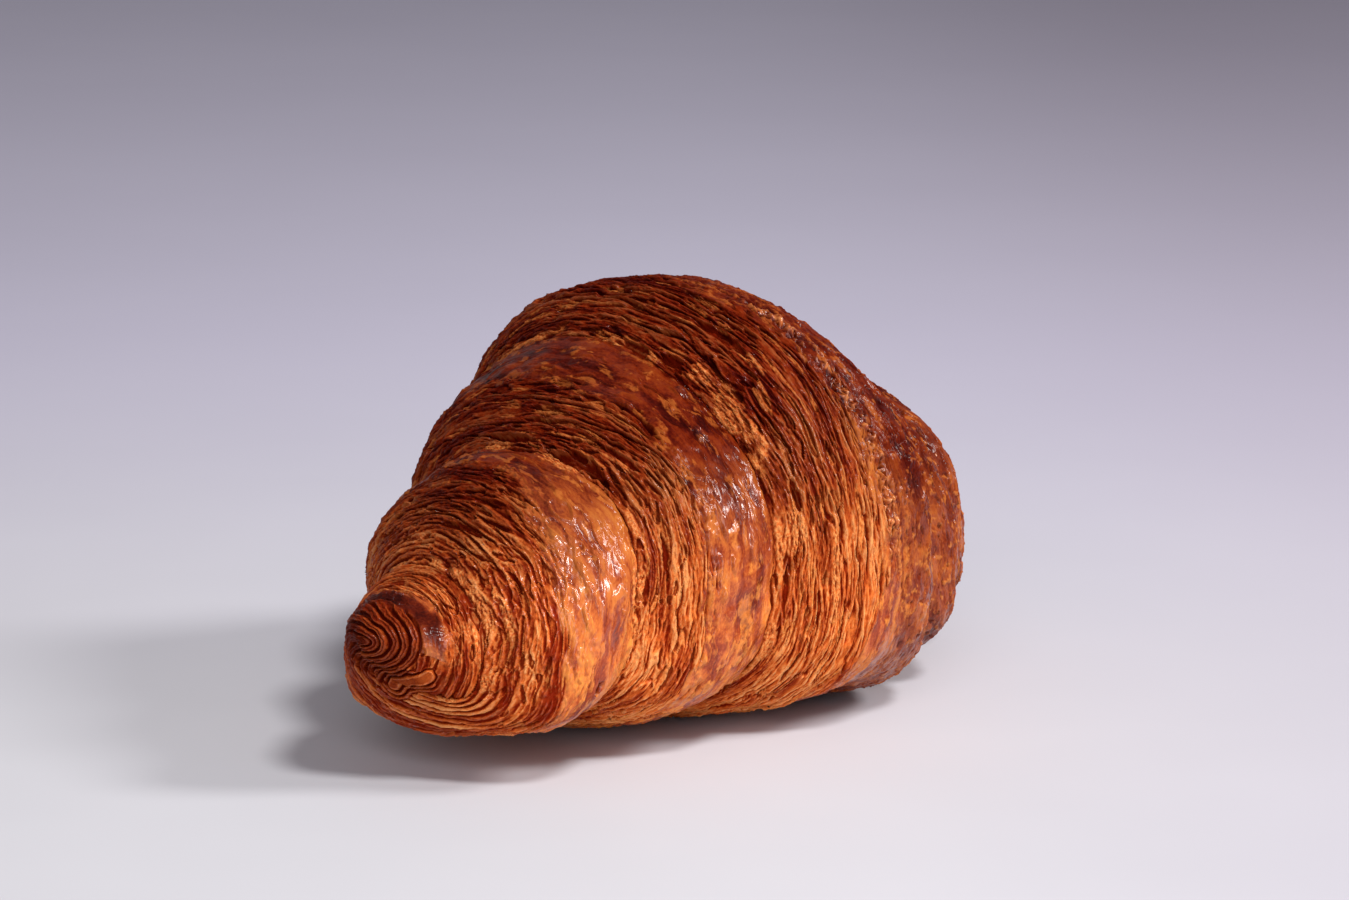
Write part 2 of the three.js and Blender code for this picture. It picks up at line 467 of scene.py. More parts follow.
def leaf_edges(across, along, long_splits, seed):
    """Cut edges of leaves that part and rejoin round lens-shaped pits, some with pale floors."""
    bend = 0.24 * noise(across / 1.7, along / 6, seed + 1)
    bend += 0.05 * noise(across / 0.6, along / 3, seed + 2)
    place = across + bend
    thin = noise(place / THIN_LEAF, along / 5, seed + 3)
    middling = noise(place / MIDDLING_LEAF, along / 8, seed + 4)
    wide = noise(place / WIDE_LEAF, along / 8, seed + 5)
    busy = ease(0.15, 0.5, 0.5 + 0.5 * noise(across / 6, along / 24, seed + 6))
    ribbon = ease(0.1, 0.3, noise(place / 1.9, along / 18, seed + 14))
    ribbon *= ease(-0.3, 0.3, noise(place / 5, along / 12, seed + 15))
    broken = 0.85 + 0.5 * noise(place / 0.8, along / 1.6, seed + 18)
    ridges = THIN_RISE * crest(thin, 0.36) + MIDDLING_RISE * crest(middling, 0.4) * broken
    height = (1 - 0.7 * ribbon) * ridges - 0.26 + 0.3 * ribbon
    height += 0.4 * noise(place / 3.2, along / 22, seed + 7)
    height += 0.12 * noise(place / 0.45, along / 0.8, seed + 12)
    height += 0.13 * noise(place / 0.9, along / 2.4, seed + 13)
    split = noise(place / 3.0, along / 34, seed + 16)
    height -= 0.75 * ease(0.0, 0.6, crest(split, 0.14)) * long_splits
    height += 0.18 * crest(np.abs(split) - 0.2, 0.08) * long_splits
    small_pit = ease(0.25, 0.5, middling) * busy
    wide_pit = ease(0.27, 0.4, wide) * busy
    height = height - 0.2 * small_pit - WIDE_PIT * wide_pit * (0.7 + 0.3 * thin)
    lens = noise(place / 1.05, along / 4.2, seed + 21)
    gaping = ease(-0.15, 0.2, noise(place / 5, along / 11, seed + 30))
    lens_pit = ease(0.27, 0.37, lens) * gaping
    height = height - 0.6 * lens_pit + 0.16 * (crest(lens - 0.22, 0.07) * gaping)
    pale = np.maximum(wide_pit, 0.8 * lens_pit)
    pale *= ease(-0.25, 0.15, noise(place / 3.1, along / 17, seed + 8))
    pale = np.maximum(pale, 0.9 * ease(0.42, 0.62, noise(place / 1.2, along / 12, seed + 9)))
    tone = 0.5 + 0.35 * noise(place / 0.8, along / 9, seed + 10)
    tone += 0.5 * noise(place / 3.4, along / 20, seed + 11)
    tone += 0.15 * noise(place / 0.6, along / 1.3, seed + 19)
    return height, np.clip(tone, 0, 1), pale


def broad_leaves(across, along, seed):
    """Thicker upright leaves round the blunt tip, light ones among dark ones."""
    place = (across + 0.3 * noise(across / 2.6, along / 9, seed + 20)) / BROAD_LEAF
    t = place - np.floor(place)
    luck = lattice(np.floor(place), 0 * place, seed + 21)
    fray = 0.75 + 0.35 * luck + 0.4 * noise(place + 9 * luck, along / 6, seed + 22)
    ridge = ease(0.0, 0.25, t) * (1 - ease(0.55, 0.85, t))
    rough = 0.16 * noise(across / 0.4, along / 2, seed + 24)
    rough += 0.1 * noise(across / 0.8, along / 5, seed + 25)
    tone = 1.1 * luck - 0.15 + 0.35 * noise(place, along / 9, seed + 23)
    return BROAD_RISE * (ridge * fray - 0.7) + rough, np.clip(tone, 0, 1)


def skin_surface(across, along, seed, near):
    """Baked skin with soft puffs, dents, long folds and blisters; rougher on the far half."""
    bend = 0.8 * noise(across / 2.6, along / 4.5, seed + 81)
    bend += 0.25 * noise(across / 0.9, along / 1.8, seed + 82)
    place = across + bend
    puff = layered_noise(place / 4.2, along / 7, seed + 83, 2 if near else 3)
    fold = crest(noise(place / 2.1, along / 8, seed + 86), 0.16)
    fold *= ease(-0.2, 0.3, noise(across / 4, along / 11, seed + 87))
    dent = ease(0.15, 0.6, noise(place / 1.5, along / 3.6, seed + 88))
    lines = noise(place / 0.5, along / 7, seed + 89)
    blister = ease(0.2, 0.6, noise(place / 0.75, along / 1.1, seed + 90))
    blister *= ease(0.1, 0.45, noise(across / 2.4, along / 6, seed + 91))
    lump = noise(place / 1.1, along / 1.7, seed + 93)
    wrinkle = crest(noise(place / 1.2, along / 2.4, seed + 94), 0.2) ** 2
    wrinkle *= ease(0.0, 0.4, noise(across / 5, along / 6, seed + 96))
    bits = ease(0.36, 0.44, noise(place / 1.4, along / (2.6 if near else 1.2), seed + 99))
    bits *= ease(0.05 if near else -0.1, 0.35, noise(place / 4, along / 7, seed + 103))
    height = 0.55 * puff + 0.3 * fold - 0.12 * dent + 0.15 * blister
    tone = 0.42 + 0.3 * puff
    tone += 0.35 * noise(place / 4.5, along / (15 if near else 6), seed + 92)
    tone = tone + 0.1 * lines + 0.25 * fold
    if near:
        height = height + 0.015 * lines + 0.04 * lump + 0.04 * wrinkle + 0.12 * bits
        tone += 0.4 * noise(place / 2.0, along / 12, seed + 105)
        tone += 0.15 * noise(place / 0.7, along / 5, seed + 106)
        gold = layered_noise(place / 2.4, along / 6, seed + 95, 3)
        gold = 0.85 * ease(0.12, 0.45, gold)
    else:
        fine = 0.03 * noise(place / 0.42, along / 0.7, seed + 101)
        fine += 0.04 * crest(noise(place / 0.6, along / 1.6, seed + 102), 0.3)
        pit = ease(0.5, 0.6, noise(place / 1.1, along / 1.6, seed + 100))
        height = height + 0.03 * lines + 0.05 * lump + 0.1 * wrinkle + fine + 0.2 * bits - 0.4 * pit
        gold = layered_noise(place / 2.2, along / 1.8, seed + 95, 3)
        gold = ease(0.3, 0.42, gold)
    gold = np.maximum(np.maximum(0.7 * blister, gold), bits)
    return height, np.clip(tone, 0, 1), gold


def crumbs(across, along, seed):
    """Torn dough with small bubbles and wrinkles."""
    place = across + 0.3 * noise(across / 0.9, along / 1.6, seed + 50)
    centre, chance = cells(place / 0.65, along / 1.5, seed + 54)
    bubble = (1 - ease(0.12, 0.42, centre)) * (chance > 0.6)
    fold = crest(noise(place / 0.8, along / 3.6, seed + 51), 0.35)
    fold += 0.6 * crest(noise(place / 0.5, along / 1.6, seed + 52), 0.4)
    return 0.22 * fold - 0.15 * bubble - 0.1


# Where the leaves of the first, second and middle near turns end: degrees round the roll and the
# share of the turn there
SEAM_SHARE = 0.52
LEAF_ENDS = (
    (
        (0, 60, 94, 113, 130, 145, 175, 230, 360),
        (SEAM_SHARE, 0.62, 0.58, 0.46, 0.38, 0.35, 0.33, 0.5, SEAM_SHARE),
    ),
    (
        (0, 60, 98, 116, 130, 148, 164, 186, 230, 360),
        (SEAM_SHARE, 0.55, 0.5, 0.47, 0.43, 0.41, 0.43, 0.39, 0.5, SEAM_SHARE),
    ),
    (
        (0, 60, 100, 125, 141, 165, 175, 190, 230, 360),
        (SEAM_SHARE, 0.5, 0.45, 0.5, 0.56, 0.6, 0.65, 0.61, 0.5, SEAM_SHARE),
    ),
)
FAR_LEAF_END = 0.3


def leaf_end(turn, angle, near):
    """Share of a turn at which its leaves end and the skin begins."""
    degrees = np.degrees(np.mod(angle, FULL_TURN))
    if not near:
        return FAR_LEAF_END + 0 * degrees
    ends = [np.interp(degrees, places, shares) for places, shares in LEAF_ENDS]
    return np.select([turn == 1, turn == 2, turn == 3], ends, SEAM_SHARE)


def spots(x, angle, girth, places, seed):
    """Ragged patches stretched along the strip of dough, one by one, 1 inside and 0 outside."""
    for index, (middle, degrees, width, length, *_) in enumerate(places):
        turned = np.mod(angle - math.radians(degrees) + math.pi, FULL_TURN) - math.pi
        aside = x - middle - STRIP_LEAN * np.sign(middle) * turned
        arc = turned * girth
        own_seed = seed + PATCH_STEP * index
        ragged = 0.28 * noise(aside / 0.8, arc / 2.4, own_seed)
        ragged += 0.2 * noise(aside / 0.35, arc / 1.1, own_seed + 1)
        yield ease(0, 0.45, 1 + ragged - np.hypot(aside / width, arc / length))


def lip_distance(points):
    """Distance from the short tongue of dough that lies in the curl of the blunt tip."""
    degrees = np.linspace(LIP_DEGREES[0], LIP_DEGREES[-1], 40)
    tongue = dough_point(np.interp(degrees, LIP_DEGREES, LIP_PLACES), np.radians(degrees))
    found = np.full(points.shape[:2], 99.0)
    close = np.linalg.norm(points - points[0, 0], axis=-1).min(axis=1) < 25
    for middle in tongue:
        found[close] = np.minimum(found[close], np.linalg.norm(points[close] - middle, axis=-1))
    return found


def whorl(points, angle, turn):
    """Thin upright leaves that curl round the blunt tip.

    They run round its pole on one side and round the hook on the other. Gives their height and
    tone, how far they reach, how open the left side is, and the distance from the pole.
    """
    pole = points[0, 0]
    hook = dough_point(np.array([HOOK_PLACE]), np.array([HOOK_ANGLE]))[0]
    from_pole = np.linalg.norm((points - pole) * WHORL_SQUASH, axis=-1)
    from_hook = np.linalg.norm((points - hook) * WHORL_SQUASH, axis=-1)
    apart = np.linalg.norm((hook - pole) * WHORL_SQUASH)
    degrees = np.degrees(np.mod(angle, FULL_TURN))
    left_side = np.maximum(1 - ease(60, 108, degrees), ease(263, 268, degrees))
    run = (1 - left_side) * from_pole + left_side * np.abs(from_hook - apart)
    side, up = points[..., 1], points[..., 2]
    wave = 0.12 * noise(side / 4 + 3.3, up / 4, WHORL_SEED + 1)
    run = run + wave + 0.3 * noise(run / 2.3, 0 * run, WHORL_SEED + 4)
    place = run / WHORL_PITCH
    t = place - np.floor(place)
    luck = lattice(np.floor(place), 0 * place, WHORL_SEED + 5)
    ragged = 0.07 * noise(side / 1.3, up / 1.3, WHORL_SEED + 3)
    ragged += 0.04 * noise(side / 0.5, up / 0.5, WHORL_SEED + 8)
    ridge = ease(0.02, 0.2, t + ragged) * (1 - ease(0.66, 0.9, t - ragged))
    fray = 0.85 + 0.25 * luck
    fray += 0.35 * noise(side / 2.1 + 9 * luck, up / 2.1, WHORL_SEED + 6)
    fray -= 0.22 * crest(t - 0.45 + 2 * ragged, 0.12)
    height = WHORL_DEPTH * (ridge * fray - 0.8) * ease(0.3, 2.2, run + 0.9)
    to_right = ease(40, 60, degrees) * (1 - ease(262, 266, degrees))
    reach = to_right * (1 - ease(8.8, 9.8, from_pole))
    reach += (1 - to_right) * (1 - ease(9, 15, from_pole))
    reach *= (turn == 0) | ((turn == 1) & (degrees > 262))
    curl = lip_distance(points) + 0.12 * noise(side / 2.2 + 5, up / 2.2, WHORL_SEED + 7)
    rings = (curl - LIP_HALF_WIDTH - 0.25) / LIP_RING
    ring = rings - np.floor(rings)
    ring = ease(0.05, 0.3, ring + ragged) * (1 - ease(0.62, 0.9, ring - ragged))
    lip = 1 - ease(LIP_HALF_WIDTH - 0.1, LIP_HALF_WIDTH + 0.15, curl)
    open_end = ease(192, 214, degrees) * (1 - ease(300, 330, degrees))
    beside = (1 - ease(1.1 + 1.6 * open_end, 1.5 + 1.9 * open_end, curl)) * (turn <= 1)
    curl_height = WHORL_DEPTH * (np.maximum(1.1 * lip, ring * fray) - 0.8)
    height = height * (1 - beside) + curl_height * beside
    tone = 0.04 + 0.16 * luck + 0.2 * lip
    open_side = left_side * (1 - ease(11, 17, from_pole))
    return height, tone, np.maximum(reach, beside), open_side, from_pole


def leaf_bundles(points, degrees, shifted, along, seed, near):
    """Height, tone and gold of the leaves, which get broader and darker toward the blunt tip."""
    long_splits = 0.25 + 0.75 * ease(30, 60, degrees) * (1 - ease(115, 150, degrees))
    long_splits *= ease(-0.2, 0.3, noise(shifted / 7, along / 24, seed + 17))
    height, tone, gold = leaf_edges(shifted, along, long_splits, seed)
    if not near:
        return height, tone, gold
    from_tip = np.linalg.norm(points - points[0, 0], axis=-1)
    by_tip = 1 - ease(28, 40, from_tip)
    around = np.maximum(ease(168, 195, degrees), 1 - ease(40, 75, degrees))
    broad = (1 - ease(19, 30, from_tip)) * around
    broad_height, broad_tone = broad_leaves(shifted, along, seed)
    height = height * (1 - 0.55 * broad) + broad_height * broad
    tone = tone * (1 - 0.8 * broad) + broad_tone * broad * 0.8
    return height, tone - 0.16 * by_tip, gold * (1 - 0.7 * broad) * (1 - 0.5 * by_tip)


def chipped_band(x, degrees, shifted, along, seed):
    """Height, gloss and pale crumb of the band of chips beside the far skin; the pale crumb on the
    chip tops is a painted highlight.
    """
    band = np.exp(-(((x - BAND_PLACE) / BAND_HALF_WIDTH) ** 2))
    band = band * ease(98, 120, degrees) * (1 - ease(172, 188, degrees))
    band *= ease(-0.45, 0.0, noise(shifted / 1.3, along / 3, seed + 79))
    groove = crest(noise(shifted / 1.2, along / 1.6, seed + 81), 0.16)
    chips = noise(shifted / 1.4, along / 1.9, seed + 104)
    chips += 0.6 * noise(shifted / 0.75, along / 1.1, seed + 80)
    gloss = band * (1 - groove)
    # The pale crumb on the chip tops, away from the grooves, is a painted highlight
    return band * (1.2 * chips - 1.3 * groove + 0.25), gloss, gloss * ease(-0.1, 0.15, chips)


def near_tip(points, degrees, turn, from_pole, past):
    """What sets the blunt tip apart: where its skin begins, flaky rim, dark spot and browning."""
    round_nub = ease(35, 60, degrees) * (1 - ease(155, 195, degrees))
    ragged = 0.7 * noise(points[..., 1] / 2, points[..., 2] / 2, TIP_SEED)
    rim = 0.02 * np.minimum(from_pole + ragged - 9.6, 13.2 + ragged - from_pole)
    opened = past - (past + 0.5) * ease(0, 30, degrees)
    past = np.where(turn == 0, np.where(round_nub > 0.5, rim, opened), past)
    flaky = (turn == 0) * round_nub * ease(11.5, 13.5, from_pole)
    patch = ease(35, 60, degrees) * (1 - ease(140, 180, degrees + 5 * ragged)) * (turn == 0)
    patch = patch * ease(8.3, 9.8, from_pole) * (1 - ease(11.6, 13.8, from_pole + ragged))
    right = ease(100, 140, degrees) * (1 - ease(185, 215, degrees))
    fading_out = 0.35 * (1 - ease(12, 34, from_pole)) * ease(225, 245, degrees)
    burnt = 0.66 * (1 - right) * (1 - ease(9, 22, from_pole))
    burnt += 0.68 * right * (1 - ease(8.5, 11.5, from_pole))
    burnt = np.maximum(0.92 * patch, np.maximum(burnt, fading_out) * (turn <= 1))
    return past, flaky, patch, burnt


def relief(x, angle, points, strip, near):
    """Height of the crust over the dough on one half, and what its colours need to know."""
    seed = NEAR_SEED if near else FAR_SEED
    turn, width, across, left, along = strip
    degrees = np.degrees(np.mod(angle, FULL_TURN))
    shifted = wandered(across, along, seed)
    leaves = leaf_bundles(points, degrees, shifted, along, seed, near)
    leaf_height, leaf_tone, leaf_gold = leaves
    skin_height, skin_tone, skin_gold = skin_surface(shifted, along, seed, near)
    skin_tone += 0.15 * near * (turn == 1)
    crumb_height = crumbs(shifted, along, seed)
    fingers = 0.06 * noise(shifted / 2.6, along / 9, seed + 72)
    fingers += 0.045 * noise(shifted / 0.9, along / 5, seed + 71)
    fingers += 0.02 * noise(shifted / 0.4, along / 2.5, seed + 70)
    past = width - leaf_end(turn, angle, near) + fingers
    torn = 0.85 * ease(0.0, 0.3, noise(across / 4, along / 9, seed + 74))
    torn = torn * (1 - ease(1.0, 3.0, across)) * (turn > 0)
    lumpy = np.exp(-(((left - 1.1) / 0.9) ** 2))
    lumpy *= ease(-0.2, 0.25, noise(shifted / 1.6, along / 5, seed + 97))
    near_crease = np.exp(-((across / 0.45) ** 2)) * (turn > 0)
    under_next = np.exp(-((left / 0.6) ** 2))
    calm = 1.0
    flaky, burnt, gloss = 0 * x, 0 * x, 0 * x
    if near:
        tip_height, tip_tone, reach, open_side, from_pole = whorl(points, angle, turn)
        past, flaky, patch, burnt = near_tip(points, degrees, turn, from_pole, past)
        gloss = 0.26 * patch * ease(75, 100, degrees)
        patch_calm = patch * ease(75, 100, degrees)
        skin_tone *= 1 - 0.8 * patch
        calm = 1 - open_side * ((degrees > 266) | (degrees < 60))
    skin = ease(-0.012, 0.012, past)
    cover = ease(-0.02, 0.05, past)
    fading = 0.35 * np.exp(-np.maximum(past, 0) / 0.07)
    fading *= ease(-0.6, 0.4, noise(shifted / 2, along / 7, seed + 75))
    height = cover * (skin_height + fading * leaf_height) + (1 - cover) * leaf_height
    tone = skin * skin_tone + (1 - skin) * leaf_tone
    margin = np.exp(-(((past - 0.035) / 0.04) ** 2))
    margin *= ease(-0.3, 0.3, noise(shifted / 1.5, along / 5, seed + 73))
    gold = skin * skin_gold + (1 - skin) * leaf_gold * 0.9 + margin * 0.9 * (past > -0.02)
    gold = np.maximum(gold, 0.95 * skin * lumpy) * np.where(turn == 0, 0.4, 1)
    height += 0.35 * skin * lumpy * noise(shifted / 0.8, along / 1.4, seed + 98)
    height += 0.22 * margin * noise(shifted / 0.55, along / 0.9, seed + 78)
    band_height, band_gloss, painted_chip_highlight = chipped_band(x, degrees, shifted, along, seed)
    height += band_height
    gloss = np.maximum(gloss, band_gloss)
    height += torn * (crumb_height - 0.6 * height)
    flaky = 0.5 * flaky * ease(0.0, 0.4, noise(shifted / 1.6, along / 4, seed + 76))
    crumb = np.maximum(torn, flaky)
    crumb = np.maximum(crumb, 0.55 * leaf_gold * (1 - skin))
    # Pale crumb on the chip tops: a painted highlight
    crumb = np.maximum(crumb, painted_chip_highlight)
    if near:
        section = points[..., 1:]
        girth = np.linalg.norm(section - section.mean(axis=1, keepdims=True), axis=-1)
        speckled = np.clip(0.8 + 0.7 * noise(shifted / 0.7, along / 3, LIGHT_SEED + 90), 0, 1)
        for patch in spots(x, angle, girth, LIGHT_PATCHES, LIGHT_SEED):
            height = height * (1 - 0.4 * patch) + patch * (crumb_height + 0.1)
            crumb = np.maximum(crumb, patch * speckled)
        rough = noise(shifted / 0.7, along / 1.2, GOLD_SEED + 90)
        speckled = 0.75 + 0.5 * noise(shifted / 1.1, along / 2.6, GOLD_SEED + 91)
        for patch in spots(x, angle, girth, GOLD_PATCHES, GOLD_SEED):
            height += 0.2 * patch * rough
            gold = np.maximum(gold, patch * speckled)
        uneven = 1 + 0.3 * noise(shifted / 1.4, along / 2.6, FOLD_SEED + 90)
        for patch in spots(x, angle, girth, FOLDS, FOLD_SEED):
            height += 0.4 * (patch * skin) * uneven
            gloss = np.maximum(gloss, patch * skin)
        height = height * (1 - 0.8 * patch_calm) + 0.2 * patch_calm
        height = height * (1 - reach) + tip_height * reach
        tone = tone * (1 - reach) + tip_tone * reach
        gold, crumb = gold * (1 - reach), crumb * (1 - reach)
    height -= calm * (0.4 * near_crease + 0.2 * under_next)
    hollow = 0 * height
    if near:
        uneven = 1 - 0.25 * np.abs(noise(shifted / 0.8, along / 3, HOLLOW_SEED + 91))
        for place, cavity in zip(HOLLOWS, spots(x, angle, girth, HOLLOWS, HOLLOW_SEED)):
            height -= place[4] * cavity * uneven
            hollow = np.maximum(hollow, cavity)
    return height, skin, tone, gold * (1 - burnt), crumb, hollow, shifted, burnt, gloss


def build_crust():
    """Shapes the crust on one grid of points, with what the colours need to know at each point."""
    x = even_places(ROWS + 1)[:, None] + np.zeros((1, COLUMNS))
    angle = even_angles(COLUMNS)[None, :] + np.zeros((ROWS + 1, 1))
    points = dough_point(x, angle)
    smooth = blurred(points, 6, 3)
    smooth[:7] = points[:7]
    smooth[-7:] = points[-7:]
    toward_far, normal = slopes_of(smooth)
    strip = strip_places(x, angle, points)
    near_rows = x[:, 0] < HALVES_OVERLAP
    far_rows = x[:, 0] > -HALVES_OVERLAP
    halves = []
    for rows, is_near in ((near_rows, True), (far_rows, False)):
        places = [values[rows] for values in strip]
        halves.append(relief(x[rows], angle[rows], points[rows], places, is_near))
    mix = ease(-HALVES_BLEND, HALVES_BLEND, x)
    names = ("height", "skin", "tone", "gold", "crumb", "hollow", "shifted", "burnt", "gloss")
    fields = {}
    for name, near_field, far_field in zip(names, *halves):
        field = np.zeros_like(x)
        field[near_rows] += near_field * (1 - mix[near_rows])
        field[far_rows] += far_field * mix[far_rows]
        fields[name] = field
    height = fields["height"]
    # Painted shade and painted highlight: "dark" marks colour darkened in grooves and pits, "crest"
    # marks colour lightened on the leaf edges
    sunk = 0.7 * (blurred(height, 2, 0) - height) + 0.6 * (blurred(height, 5, 1) - height)
    fields["dark"] = np.clip(sunk / 0.22, 0, 1)
    fields["crest"] = np.clip(-sunk / 0.2, 0, 1)
    upright = 1 - fields["skin"]
    lean = -np.where(x < 0, 1.0, -1.0) * upright * np.clip(height + 0.4, 0, 0.8) * 0.4
    ends = np.minimum(np.arange(ROWS + 1), ROWS - np.arange(ROWS + 1))[:, None]
    settle = ease(0, 8, ends)
    points += normal * (height * settle)[..., None]
    points += toward_far * (lean * settle)[..., None]
    points[0] = points[0].mean(axis=0)
    points[-1] = points[-1].mean(axis=0)
    rest = points[..., 2].min() + RESTING_TRIM
    points[..., 2] = np.maximum(points[..., 2], rest)
    return x, angle, points, strip[-1], fields


def browned(x, angle, points):
    """How deeply each point is baked: most on the top, at the back and on the far half."""
    browning = layered_noise(x / 22 + 5, angle * 2 / math.pi, BROWNING_SEED, 2)
    toward_top = ease(18, 60, points[..., 2])
    toward_back = ease(-5, 45, points[..., 1] - 0.25 * points[..., 0])
    far_side = ease(-8, 4, points[..., 0] - 7)
    shade = 0.04 + 0.44 * far_side + 0.9 * toward_top
    shade = shade + 0.42 * toward_back * (1 - 0.5 * toward_top) + 0.2 * browning
    shade += 0.24 * ease(26, 46, points[..., 2]) * (1 - ease(-18, -4, x))
    return blurred(np.clip(shade, 0, 1), 8, 4)


def piece_mesh(name, rows, points, normals, fields, shifted, along):
    """One length of the crust, closed round, from a flat grid bent round the roll."""
    first, last = rows
    count = last - first
    bm = bmesh.new()
    bmesh.ops.create_grid(bm, x_segments=count, y_segments=COLUMNS, size=1)
    mesh = bpy.data.meshes.new(name)
    bm.to_mesh(mesh)
    bm.free()
    flat = np.empty(len(mesh.vertices) * 3, np.float32)
    mesh.vertices.foreach_get("co", flat)
    flat = flat.reshape(-1, 3)
    row = np.rint((flat[:, 0] + 1) / 2 * count).astype(int) + first
    column = COLUMNS - np.rint((flat[:, 1] + 1) / 2 * COLUMNS).astype(int)
    wrapped = column % COLUMNS
    mesh.vertices.foreach_set("co", (points[row, wrapped] * MM).astype(np.float32).ravel())
    for field, values in fields.items():
        layer = mesh.attributes.new(field, "FLOAT", "POINT")
        layer.data.foreach_set("value", values[row, wrapped].astype(np.float32))
    place = mesh.attributes.new("strip_place", "FLOAT_VECTOR", "POINT")
    down = along[row, wrapped]
    places = np.stack([shifted[row, wrapped], down, 0 * down], -1)
    place.data.foreach_set("vector", places.astype(np.float32).ravel())
    outward = mesh.attributes.new("outward", "FLOAT_VECTOR", "POINT")
    outward.data.foreach_set("vector", normals[row, wrapped].astype(np.float32).ravel())
    loops = np.empty(len(mesh.loops), np.int32)
    mesh.loops.foreach_get("vertex_index", loops)
    uv = mesh.uv_layers.new(name="OFBake")
    spots = np.stack([(row[loops] - first) / count, column[loops] / COLUMNS], -1)
    uv.data.foreach_set("uv", spots.astype(np.float32).ravel())
    bm = bmesh.new()
    bm.from_mesh(mesh)
    bm.verts.ensure_lookup_table()
    at_seam = (column == 0) | (column == COLUMNS) | (row == 0) | (row == ROWS)
    ends = [bm.verts[i] for i in np.flatnonzero(at_seam)]
    bmesh.ops.remove_doubles(bm, verts=ends, dist=1e-7)
    bm.to_mesh(mesh)
    bm.free()
    mesh.polygons.foreach_set("use_smooth", [True] * len(mesh.polygons))
    kept = np.empty(len(mesh.vertices) * 3, np.float32)
    mesh.attributes["outward"].data.foreach_get("vector", kept)
    mesh.normals_split_custom_set_from_vertices(kept.reshape(-1, 3))
    mesh.attributes.remove(mesh.attributes["outward"])
    return mesh


class Nodes:
    """Short way to add and join the nodes of one material."""

    def __init__(self, name):
        self.material = bpy.data.materials.new(name)
        self.material.use_nodes = True
        self.tree = self.material.node_tree
        self.shader = self.tree.nodes["Principled BSDF"]

    def add(self, kind, inputs=None, **settings):
        node = self.tree.nodes.new(kind)
        for key, value in settings.items():
            setattr(node, key, value)
        for key, value in (inputs or {}).items():
            if isinstance(value, bpy.types.NodeSocket):
                self.tree.links.new(value, node.inputs[key])
            else:
                node.inputs[key].default_value = value
        return node

    def join(self, output, key):
        self.tree.links.new(output, self.shader.inputs[key])

    def read(self, name, output="Fac"):
        return self.add("ShaderNodeAttribute", attribute_name=name).outputs[output]

    def math(self, operation, a, b):
        return self.add("ShaderNodeMath", {0: a, 1: b}, operation=operation).outputs[0]

    def plus(self, a, b):
        return self.math("ADD", a, b)

    def minus(self, a, b):
        return self.math("SUBTRACT", a, b)

    def times(self, a, b):
        return self.math("MULTIPLY", a, b)

    def mix(self, factor, a, b, blend="MIX"):
        inputs = {0: factor, 6: a, 7: b}
        node = self.add("ShaderNodeMix", inputs, data_type="RGBA", blend_type=blend)
        return node.outputs[2]

    def ramp(self, value, stops):
        node = self.add("ShaderNodeValToRGB", {0: value})
        ramp = node.color_ramp
        while len(ramp.elements) < len(stops):
            ramp.elements.new(0.5)
        for element, (place, colour) in zip(ramp.elements, stops):
            element.position = place
            element.color = colour
        return node.outputs[0]

    def spread(self, value, low, high, to_low=0.0, to_high=1.0):
        inputs = {0: value, 1: low, 2: high, 3: to_low, 4: to_high}
        node = self.add("ShaderNodeMapRange", inputs, interpolation_type="SMOOTHSTEP")
        return node.outputs[0]

    def stretch(self, vector, scale):
        return self.add("ShaderNodeMapping", {"Vector": vector, "Scale": scale}).outputs[0]

    def speckle(self, vector, scale, detail=3.0, roughness=0.55, distortion=0.0):
        inputs = {"Vector": vector, "Scale": scale, "Detail": detail, "Roughness": roughness}
        node = self.add("ShaderNodeTexNoise", {**inputs, "Distortion": distortion})
        return node.outputs[0]


def linear(level):
    """Level from 0 to 255 as seen on screen, made linear."""
    return ((level / 255 + 0.055) / 1.055) ** 2.4 if level > 10 else level / 255 / 12.92


def rgb(red, green, blue):
    """Opaque colour from its levels on screen."""
    return (linear(red), linear(green), linear(blue), 1.0)


# LEAF_DEEP and SKIN_DARK are also the colours of painted shade in grooves, dents and hollows
LEAF_DEEP = rgb(128, 29, 5)
LEAF_BROWN = rgb(151, 51, 16)
LEAF_RUST = rgb(190, 83, 31)
LEAF_AMBER = rgb(221, 112, 47)
LEAF_GOLD = rgb(247, 163, 93)
SKIN_DARK = rgb(116, 36, 16)
SKIN_BROWN = rgb(164, 67, 31)
SKIN_RUST = rgb(211, 110, 50)
GILT = rgb(238, 147, 66)
CRUMB_TAN = rgb(228, 113, 47)
CRUMB_GOLD = rgb(253, 174, 100)
BAKED_DARK = (0.27, 0.2, 0.27, 1.0)
BAKED_DEPTH = 1.4
LEAF_COLOURS = (
    (0.08, LEAF_DEEP),
    (0.27, LEAF_BROWN),
    (0.44, LEAF_RUST),
    (0.6, LEAF_AMBER),
    (0.84, LEAF_GOLD),
)
SKIN_COLOURS = ((0.3, SKIN_DARK), (0.44, SKIN_BROWN), (0.57, SKIN_RUST), (0.76, GILT))
GLOSSIEST = 0.95
GLAZE_ROUGHNESS = 0.18
BARE_SHINE = 0.02


